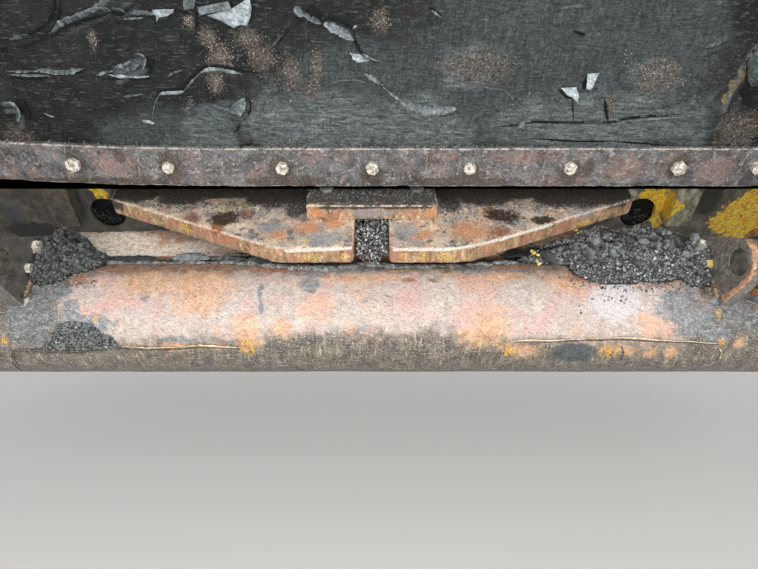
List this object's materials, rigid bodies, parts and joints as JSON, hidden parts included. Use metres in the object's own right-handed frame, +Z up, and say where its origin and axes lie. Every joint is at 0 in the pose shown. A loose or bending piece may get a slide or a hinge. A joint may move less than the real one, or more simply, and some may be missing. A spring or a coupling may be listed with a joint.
{
  "type": "asphalt paver front push-roller unit",
  "caption": "Swinging push tube on an upright pivot pin between flame-cut plates, with a truck-tyre roller at each end and a clamped rubber flap above.",
  "frame": {"origin": "middle of the cross-member's rear mounting face, at the centre of its four bolt holes", "axes": "+X right along the tube, -Y towards the truck, +Z up, +Y out of the mounting face"},
  "size_m": [2.44, 0.3194, 0.6621],
  "materials": {
    "painted_steel": "yellow enamel under black asphalt grime",
    "flame_cut_plate": "flame-cut plate, rusted orange and worn bare at the edges",
    "dark_steel": "dark oxidised steel with asphalt film",
    "pin_steel": "greasy turned steel",
    "flap_rubber": "worn black conveyor belting",
    "rusted_bar": "flat bar with purple-brown rust",
    "worn_tube": "rolled pipe polished by truck tyres, with rust film",
    "roller_steel": "rolling-polished steel with copper-orange rust"
  },
  "bodies": {
    "frame": {"cross_member": "painted_steel", "rib_left": "painted_steel", "rib_right": "painted_steel", "wing_left": "flame_cut_plate", "wing_right": "flame_cut_plate", "keeper_plate": "flame_cut_plate", "lower_pivot_plate": "dark_steel", "lower_gussets": "dark_steel", "pivot_pin": "pin_steel", "pin_collar": "dark_steel", "thrust_washer": "pin_steel", "hopper_lip": "painted_steel", "rubber_flap": "flap_rubber", "clamp_bar": "rusted_bar"},
    "beam": {"push_tube": "worn_tube", "end_cap_left": "worn_tube", "end_cap_right": "worn_tube", "shelf": "flame_cut_plate", "shelf_webs": "dark_steel", "back_plate_left": "dark_steel", "back_plate_right": "dark_steel", "tongue": "dark_steel", "pivot_boss": "dark_steel", "ear_inner_left": "dark_steel", "ear_inner_right": "dark_steel", "ear_outer_left": "dark_steel", "ear_outer_right": "dark_steel", "shaft_left": "pin_steel", "shaft_right": "pin_steel"},
    "roller_left": {"roller_left": "roller_steel", "roller_hubs_left": "dark_steel"},
    "roller_right": {"roller_right": "roller_steel", "roller_hubs_right": "dark_steel"}
  },
  "joints": [
    {"name": "beam_swing", "type": "hinge", "parent": "frame", "child": "beam", "pos_m": [0, -0.085, -0.005], "axis": [0, 0, 1], "range_deg": [-5, 5]},
    {"name": "roller_left_spin", "type": "hinge", "parent": "beam", "child": "roller_left", "pos_m": [-0.842, -0.275, 0.106], "axis": [1, 0, 0], "continuous": true},
    {"name": "roller_right_spin", "type": "hinge", "parent": "beam", "child": "roller_right", "pos_m": [0.842, -0.275, 0.106], "axis": [1, 0, 0], "continuous": true}
  ]
}
